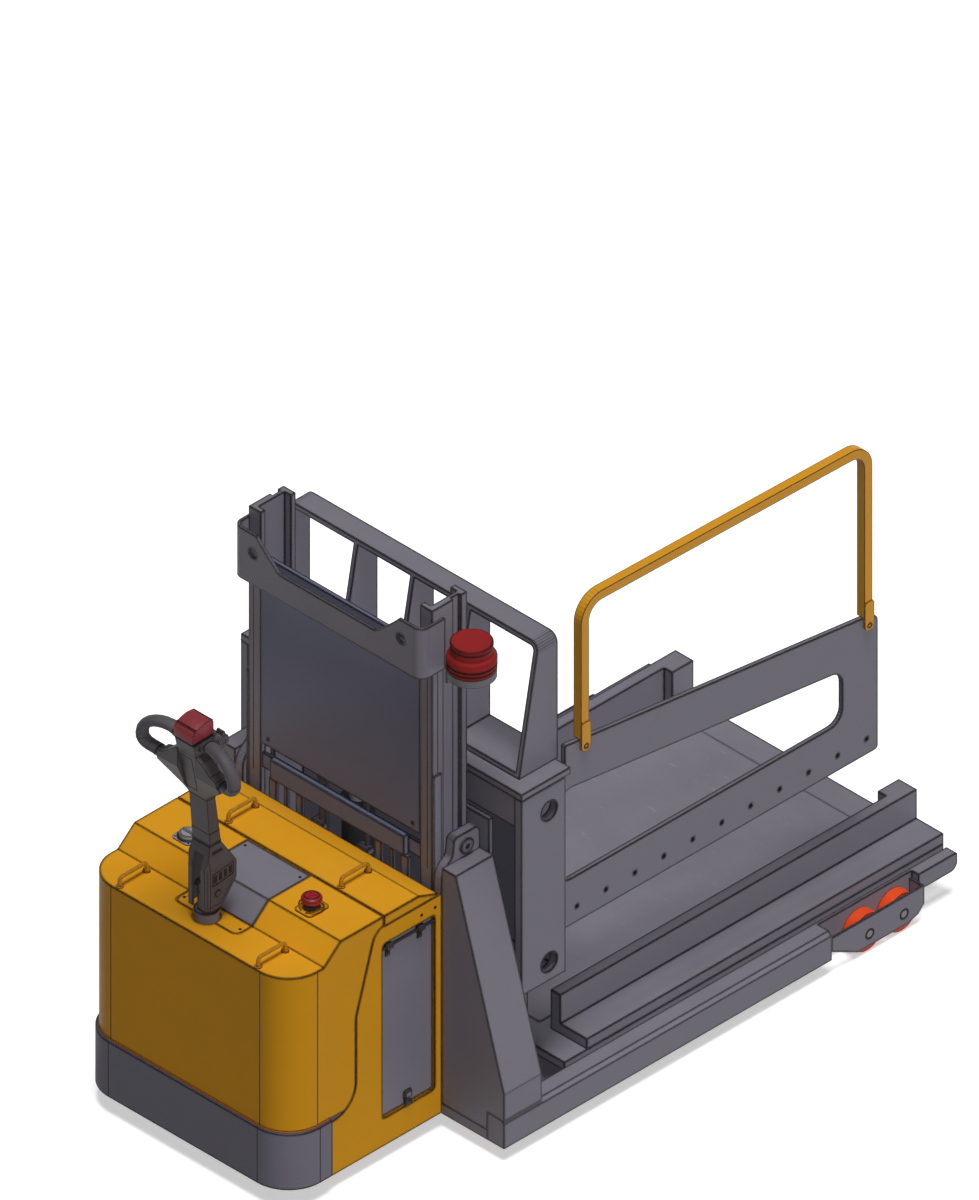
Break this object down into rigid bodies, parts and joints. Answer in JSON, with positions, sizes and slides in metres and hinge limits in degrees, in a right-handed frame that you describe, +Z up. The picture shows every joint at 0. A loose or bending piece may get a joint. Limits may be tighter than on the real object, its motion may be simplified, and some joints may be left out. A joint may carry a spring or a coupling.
{
  "type": "rack mover",
  "caption": "Walk-behind electric straddle lift truck with a low wide platform, side guard, short mast, tiller and warning beacon, for moving tall equipment racks.",
  "frame": {"origin": "on the floor, on the truck's centre plane, midway between the bumper and the leg tips", "axes": "+X to the operator's right, +Y from the tiller towards the leg tips, +Z up"},
  "size_m": [1.282, 2.381, 1.7],
  "materials": {
    "grey_paint": "matt",
    "dark_paint": "matt",
    "yellow_paint": "satin",
    "black_plastic": "matt",
    "red_plastic": "satin",
    "orange_polyurethane": "matt",
    "bright_steel": "brushed",
    "grip_rubber": "matt"
  },
  "bodies": {
    "chassis": {"chassis_frame": "dark_paint", "base_frame": "grey_paint", "leg_right": "grey_paint", "leg_left": "grey_paint", "gusset_right": "grey_paint", "gusset_left": "grey_paint", "mast_lugs": "grey_paint", "mast_pins": "bright_steel", "mast_upright_right": "grey_paint", "mast_upright_left": "grey_paint", "mast_top_bracket": "grey_paint", "mast_shield": "dark_paint", "mast_cross_bar": "dark_paint", "wheel_brackets": "grey_paint", "load_axles": "bright_steel", "bumper": "grey_paint", "front_cover": "yellow_paint", "top_panel": "grey_paint", "tiller_plate": "yellow_paint", "side_frames": "yellow_paint", "front_handles": "yellow_paint", "battery": "black_plastic", "pump_unit": "dark_paint", "lift_cylinder": "dark_paint", "stop_base": "yellow_paint", "switch_base": "black_plastic", "beacon_base": "black_plastic", "beacon_lens": "red_plastic"},
    "carriage": {"carriage_frame": "dark_paint", "lift_ram": "bright_steel", "load_column_right": "grey_paint", "load_column_left": "grey_paint", "load_box": "dark_paint", "cap_plate": "grey_paint", "backrest": "grey_paint", "platform": "grey_paint", "guide_rails": "grey_paint", "side_arm": "grey_paint", "guard_rail": "yellow_paint"},
    "upper_rollers": {"upper_rollers": "bright_steel"},
    "lower_rollers": {"lower_rollers": "bright_steel"},
    "lid": {"rear_lid": "yellow_paint", "lid_handles": "yellow_paint"},
    "door_right": {"side_door_right": "grey_paint"},
    "door_left": {"side_door_left": "grey_paint"},
    "stop_knob": {"stop_knob": "red_plastic"},
    "switch_knob": {"switch_knob": "bright_steel"},
    "steer_column": {"steer_column": "dark_paint"},
    "tiller": {"tiller_housing": "black_plastic", "tiller_arm": "black_plastic", "tiller_head": "black_plastic", "tiller_grips": "black_plastic"},
    "safety_button": {"safety_button": "red_plastic"},
    "throttle": {"throttle_wings": "black_plastic"},
    "drive_turret": {"drive_turret": "dark_paint"},
    "drive_wheel": {"drive_wheel": "grip_rubber"},
    "wheel_right_near": {"load_wheel_right_near": "orange_polyurethane"},
    "wheel_right_far": {"load_wheel_right_far": "orange_polyurethane"},
    "wheel_left_near": {"load_wheel_left_near": "orange_polyurethane"},
    "wheel_left_far": {"load_wheel_left_far": "orange_polyurethane"}
  },
  "joints": [
    {"name": "lift", "type": "slide", "parent": "chassis", "child": "carriage", "axis": [0, 0, 1], "range_m": [0, 0.6]},
    {"name": "upper_roller_spin", "type": "hinge", "parent": "carriage", "child": "upper_rollers", "pos_m": [0, -0.513, 0.89], "axis": [1, 0, 0], "range_deg": [-700, 0]},
    {"name": "lower_roller_spin", "type": "hinge", "parent": "carriage", "child": "lower_rollers", "pos_m": [0, -0.513, 0.4], "axis": [1, 0, 0], "range_deg": [0, 700]},
    {"name": "lid_lift", "type": "slide", "parent": "chassis", "child": "lid", "axis": [0, 0, 1], "range_m": [0, 0.2]},
    {"name": "door_right_swing", "type": "hinge", "parent": "chassis", "child": "door_right", "pos_m": [0.396, -0.716, 0.705], "axis": [0, -1, 0], "range_deg": [0, 90]},
    {"name": "door_left_swing", "type": "hinge", "parent": "chassis", "child": "door_left", "pos_m": [-0.396, -0.716, 0.705], "axis": [0, 1, 0], "range_deg": [0, 90]},
    {"name": "stop_press", "type": "slide", "parent": "chassis", "child": "stop_knob", "axis": [0, 0, -1], "range_m": [0, 0.006]},
    {"name": "switch_turn", "type": "hinge", "parent": "chassis", "child": "switch_knob", "pos_m": [-0.245, -0.9235, 0.829], "axis": [0, 0, 1], "range_deg": [0, 90]},
    {"name": "steer", "type": "hinge", "parent": "chassis", "child": "steer_column", "pos_m": [0, -1.0985, 0.76], "axis": [0, 0, 1], "range_deg": [-90, 90]},
    {"name": "turret_turn", "type": "hinge", "parent": "chassis", "child": "drive_turret", "pos_m": [0, -0.9305, 0.256], "axis": [0, 0, 1], "range_deg": [-90, 90]},
    {"name": "tiller_tilt", "type": "hinge", "parent": "steer_column", "child": "tiller", "pos_m": [0, -1.0985, 0.86], "axis": [1, 0, 0], "range_deg": [0, 75], "stiffness_Nm_per_rad": 40, "springref_deg": -22.92},
    {"name": "button_press", "type": "slide", "parent": "tiller", "child": "safety_button", "axis": [0, 0, -1], "range_m": [0, 0.005], "stiffness_N_per_m": 700, "springref_m": -0.008},
    {"name": "throttle_turn", "type": "hinge", "parent": "tiller", "child": "throttle", "pos_m": [0, -1.0945, 1.376], "axis": [1, 0, 0], "range_deg": [-30, 30], "stiffness_Nm_per_rad": 6},
    {"name": "drive_wheel_spin", "type": "hinge", "parent": "drive_turret", "child": "drive_wheel", "pos_m": [0, -0.9305, 0.115], "axis": [1, 0, 0], "continuous": true},
    {"name": "wheel_right_near_spin", "type": "hinge", "parent": "chassis", "child": "wheel_right_near", "pos_m": [0.6115, 0.8265, 0.06], "axis": [1, 0, 0], "continuous": true},
    {"name": "wheel_right_far_spin", "type": "hinge", "parent": "chassis", "child": "wheel_right_far", "pos_m": [0.6115, 0.9595, 0.06], "axis": [1, 0, 0], "continuous": true},
    {"name": "wheel_left_near_spin", "type": "hinge", "parent": "chassis", "child": "wheel_left_near", "pos_m": [-0.6115, 0.8265, 0.06], "axis": [1, 0, 0], "continuous": true},
    {"name": "wheel_left_far_spin", "type": "hinge", "parent": "chassis", "child": "wheel_left_far", "pos_m": [-0.6115, 0.9595, 0.06], "axis": [1, 0, 0], "continuous": true}
  ],
  "couplings": [
    {"joint": "upper_roller_spin", "follows": "lift", "rad_per_m": -20.325},
    {"joint": "lower_roller_spin", "follows": "lift", "rad_per_m": 20.325},
    {"joint": "turret_turn", "follows": "steer", "ratio": 1}
  ]
}
